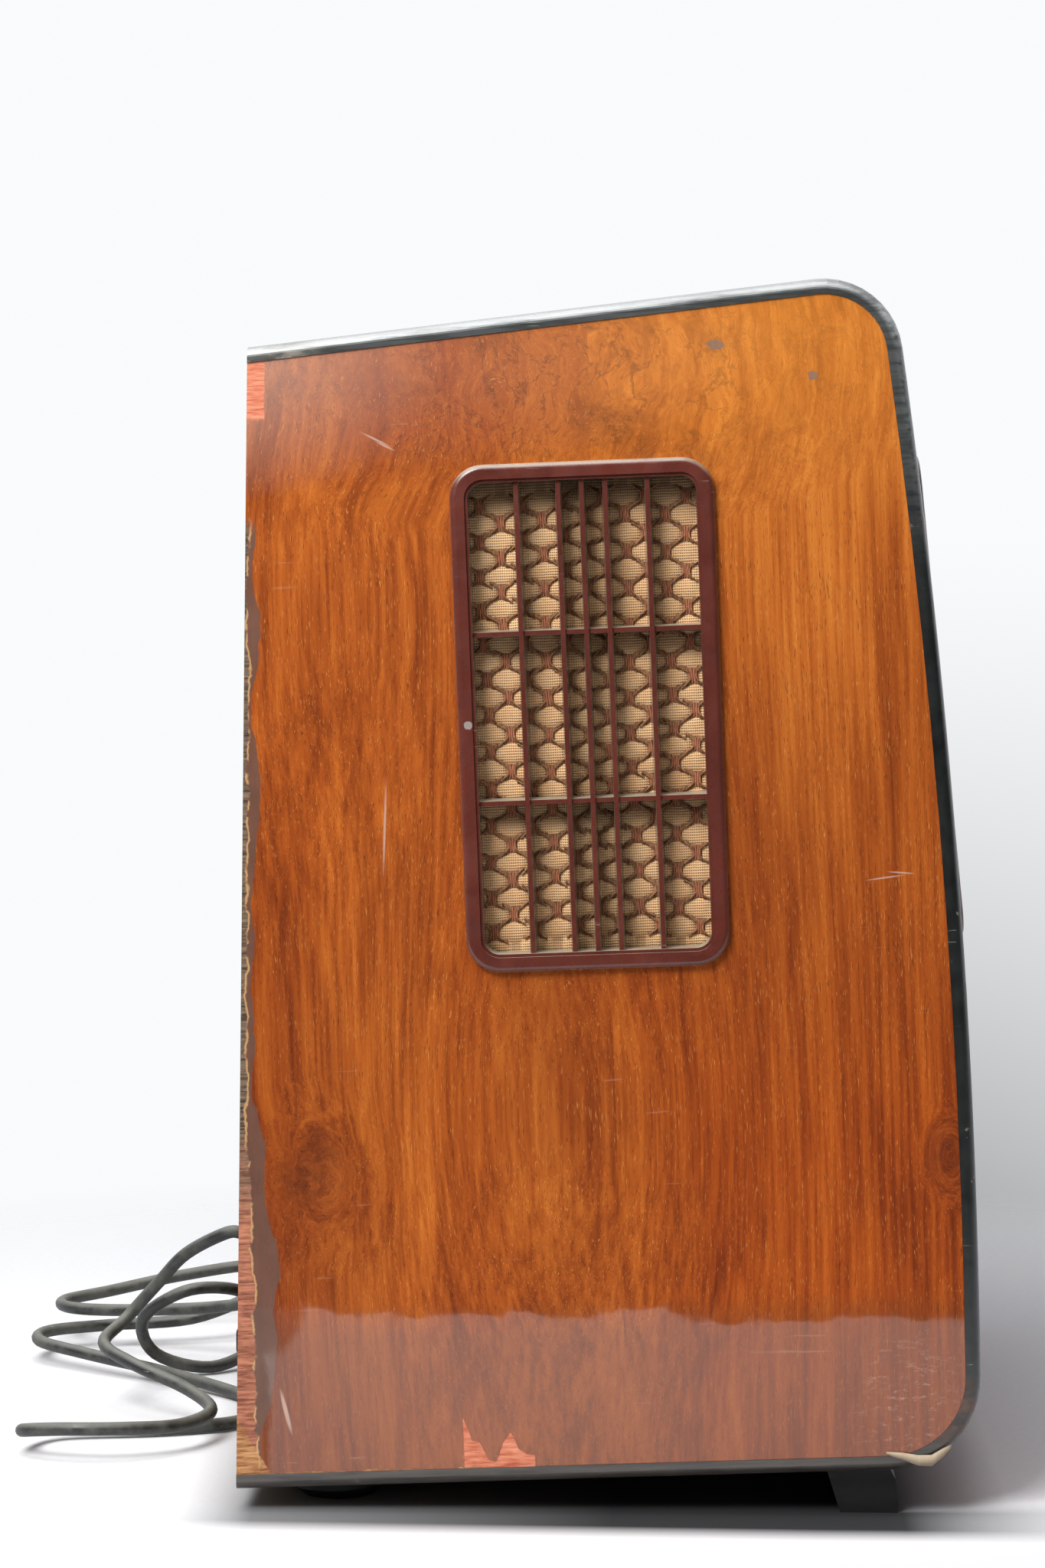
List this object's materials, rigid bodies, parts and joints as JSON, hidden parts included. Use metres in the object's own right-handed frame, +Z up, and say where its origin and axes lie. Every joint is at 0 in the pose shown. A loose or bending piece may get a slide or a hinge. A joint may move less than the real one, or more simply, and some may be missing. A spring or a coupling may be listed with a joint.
{
  "type": "table radio",
  "caption": "Upright wooden table radio with a bowed front, moulded grilles over cloth, a tuning dial with a coupled pointer, control knobs and a mains cord.",
  "frame": {"origin": "centre of the footprint of the cabinet with its dial surround, on the surface that it stands on; the cord and plug are left out", "axes": "+Z up, -Y towards the front with the dial and knobs, +X to the right seen from the front"},
  "size_m": [0.439, 0.4863, 0.5513],
  "materials": {
    "veneer": "gloss lacquer, worn",
    "bare_wood": "bare",
    "black_lacquer": "gloss black lacquer",
    "bakelite": "moulded, dusty",
    "cloth": "open weave",
    "glass": "clear",
    "dial_paint": "satin",
    "lamp_glass": "clear",
    "bright_steel": "satin",
    "pointer_red": "satin",
    "basket_paint": "satin",
    "cone_paper": "pressed paper",
    "magnet_iron": "painted",
    "chassis_plate": "plated",
    "laminations": "varnished",
    "can": "satin",
    "brown_laminate": "matte",
    "valve_base": "gloss",
    "valve_glass": "silvered inside",
    "brass": "satin",
    "drum_plastic": "matte",
    "waxed_cord": "braided",
    "fibreboard": "pressed board",
    "rubber": "dusty",
    "plug_bakelite": "moulded"
  },
  "bodies": {
    "cabinet": {"side_panel_left": "veneer", "side_panel_right": "veneer", "wrap_shell": "veneer", "bottom_board": "bare_wood", "edge_moulding_left": "black_lacquer", "edge_moulding_right": "black_lacquer", "front_foot_rail": "black_lacquer", "rear_feet": "black_lacquer", "battens": "bare_wood", "side_grille_left": "bakelite", "side_grille_right": "bakelite", "side_cloth_left": "cloth", "side_cloth_right": "cloth", "side_cloth_boards": "bare_wood", "front_grille": "bakelite", "front_cloth": "cloth", "speaker_baffle": "bare_wood", "dial_escutcheon": "bakelite", "dial_glass": "glass", "dial_plate": "dial_paint", "dial_lamps": "lamp_glass", "pointer_rail": "bright_steel", "speaker_basket": "basket_paint", "speaker_cone": "cone_paper", "speaker_magnet": "magnet_iron", "speaker_bolts": "bright_steel", "chassis_pan": "chassis_plate", "chassis_bolts": "bright_steel", "power_transformer": "laminations", "smoothing_capacitors": "can", "if_cans": "can", "valve_sockets": "brown_laminate", "valve_bases": "valve_base", "valve_envelopes": "valve_glass", "output_transformer": "laminations", "volume_and_tone_pots": "bright_steel", "wave_switch": "brown_laminate", "tuning_bush": "brass", "gang_frame": "can", "drive_cord": "waxed_cord", "back_cover": "fibreboard", "back_screws": "brass", "aerial_earth_sockets": "brown_laminate", "cord_grommet": "rubber", "mains_cord": "rubber", "mains_plug": "plug_bakelite", "plug_pins": "brass"},
    "volume_control": {"volume_knob": "bakelite", "volume_shaft": "bright_steel"},
    "tone_control": {"tone_knob": "bakelite", "tone_shaft": "bright_steel"},
    "wave_control": {"wave_knob": "bakelite", "wave_shaft": "bright_steel"},
    "tuning_control": {"tuning_knob": "bakelite", "tuning_spindle": "bright_steel"},
    "dial_pointer": {"pointer": "pointer_red"},
    "gang": {"gang_rotor": "can", "drive_drum": "drum_plastic"},
    "pulley_left": {"cord_pulley_left": "brass"},
    "pulley_right": {"cord_pulley_right": "brass"}
  },
  "joints": [
    {"name": "volume_turn", "type": "hinge", "parent": "cabinet", "child": "volume_control", "pos_m": [-0.096, -0.15242, 0.09742], "axis": [0, 0.9993, -0.0384], "range_deg": [0, 270]},
    {"name": "tone_turn", "type": "hinge", "parent": "cabinet", "child": "tone_control", "pos_m": [-0.032, -0.15242, 0.09742], "axis": [0, 0.9993, -0.0384], "range_deg": [0, 270]},
    {"name": "wave_turn", "type": "hinge", "parent": "cabinet", "child": "wave_control", "pos_m": [0.032, -0.15242, 0.09742], "axis": [0, 0.9993, -0.0384], "range_deg": [0, 90]},
    {"name": "tuning_turn", "type": "hinge", "parent": "cabinet", "child": "tuning_control", "pos_m": [0.096, -0.15242, 0.09742], "axis": [0, 0.9993, -0.0384], "range_deg": [-900, 900]},
    {"name": "pointer_slide", "type": "slide", "parent": "cabinet", "child": "dial_pointer", "axis": [1, 0, 0], "range_m": [-0.0901, 0.0901]},
    {"name": "gang_turn", "type": "hinge", "parent": "cabinet", "child": "gang", "pos_m": [0, -0.10848, 0.17309], "axis": [0, 0.9993, -0.0384], "range_deg": [-90.1, 90.1]},
    {"name": "pulley_left_turn", "type": "hinge", "parent": "cabinet", "child": "pulley_left", "pos_m": [-0.108, -0.12319, 0.23299], "axis": [0, 0.9993, -0.0384], "range_deg": [-738, 738]},
    {"name": "pulley_right_turn", "type": "hinge", "parent": "cabinet", "child": "pulley_right", "pos_m": [0.108, -0.12319, 0.23299], "axis": [0, 0.9993, -0.0384], "range_deg": [-738, 738]}
  ],
  "couplings": [
    {"joint": "pointer_slide", "follows": "tuning_turn", "m_per_rad": 0.0057296},
    {"joint": "gang_turn", "follows": "tuning_turn", "ratio": 0.1},
    {"joint": "pulley_left_turn", "follows": "tuning_turn", "ratio": 0.81851},
    {"joint": "pulley_right_turn", "follows": "tuning_turn", "ratio": 0.81851}
  ]
}
